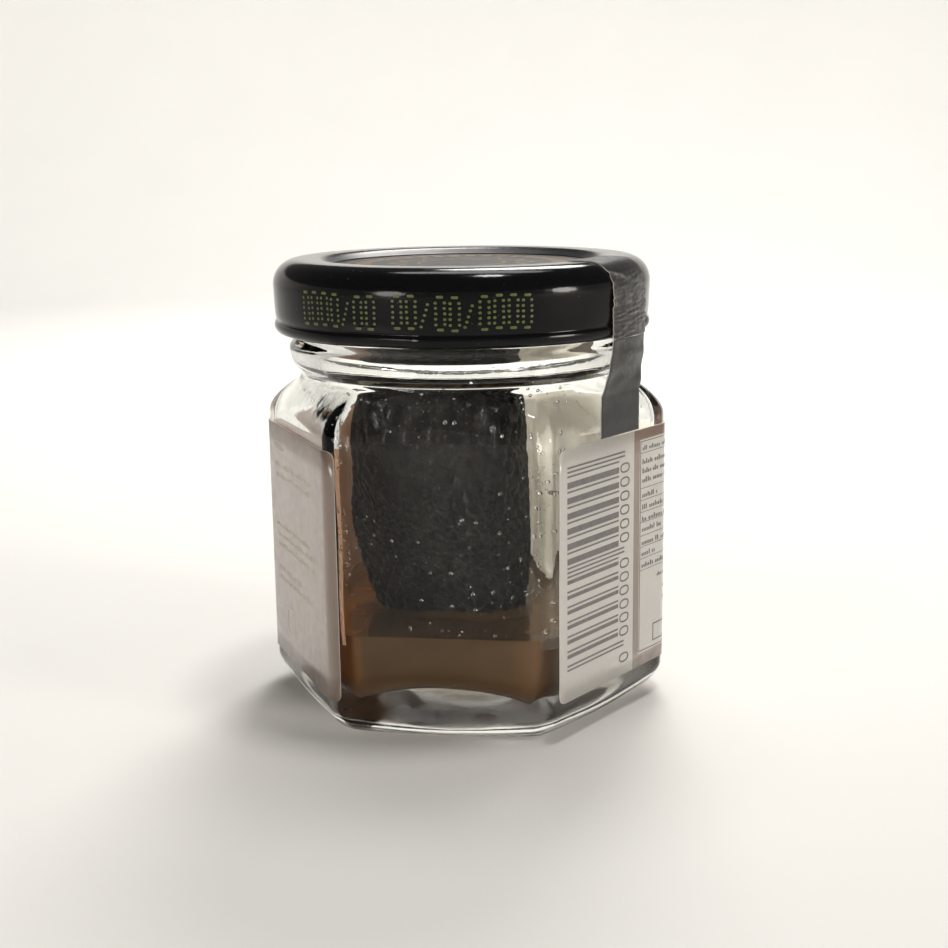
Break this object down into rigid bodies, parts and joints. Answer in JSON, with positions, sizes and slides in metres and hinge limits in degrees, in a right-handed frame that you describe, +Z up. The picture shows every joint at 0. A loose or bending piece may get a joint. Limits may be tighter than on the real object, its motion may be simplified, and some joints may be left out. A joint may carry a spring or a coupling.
{
  "type": "black truffle in a glass jar",
  "caption": "Whole black truffle standing in a little dark juice inside a six-sided glass jar, closed by a twist-off metal lid under a paper seal strip, with a wrap-around paper label.",
  "frame": {"origin": "middle of the jar's footprint, on the surface that it stands on", "axes": "+Z up through the lid, -Y out of the bare face that shows the truffle, +X to the right of that face"},
  "size_m": [0.0506, 0.0466, 0.0555],
  "materials": {
    "jar_glass": "clear moulded soda-lime glass, slightly wavy, misted inside",
    "truffle_skin": "black warty natural skin, damp; leather stands in for fungus tissue",
    "juice": "murky brown truffle juice",
    "label_paper": "coated paper, matt, brown with a pale panel",
    "strip_paper": "black satin paper",
    "lid_lacquer": "glossy black lacquer",
    "liner_compound": "cream sealing compound, satin"
  },
  "bodies": {
    "jar": {"glass_jar": "jar_glass", "truffle": "truffle_skin", "truffle_juice": "juice", "wrap_label": "label_paper", "seal_strip_lower": "strip_paper"},
    "lid": {"lid_shell": "lid_lacquer", "lid_liner": "liner_compound", "seal_strip_upper": "strip_paper"}
  },
  "joints": [
    {"name": "lid_twist", "type": "hinge", "parent": "jar", "child": "lid", "pos_m": [0, 0, 0.0514], "axis": [0, 0, 1], "range_deg": [0, 60]}
  ]
}
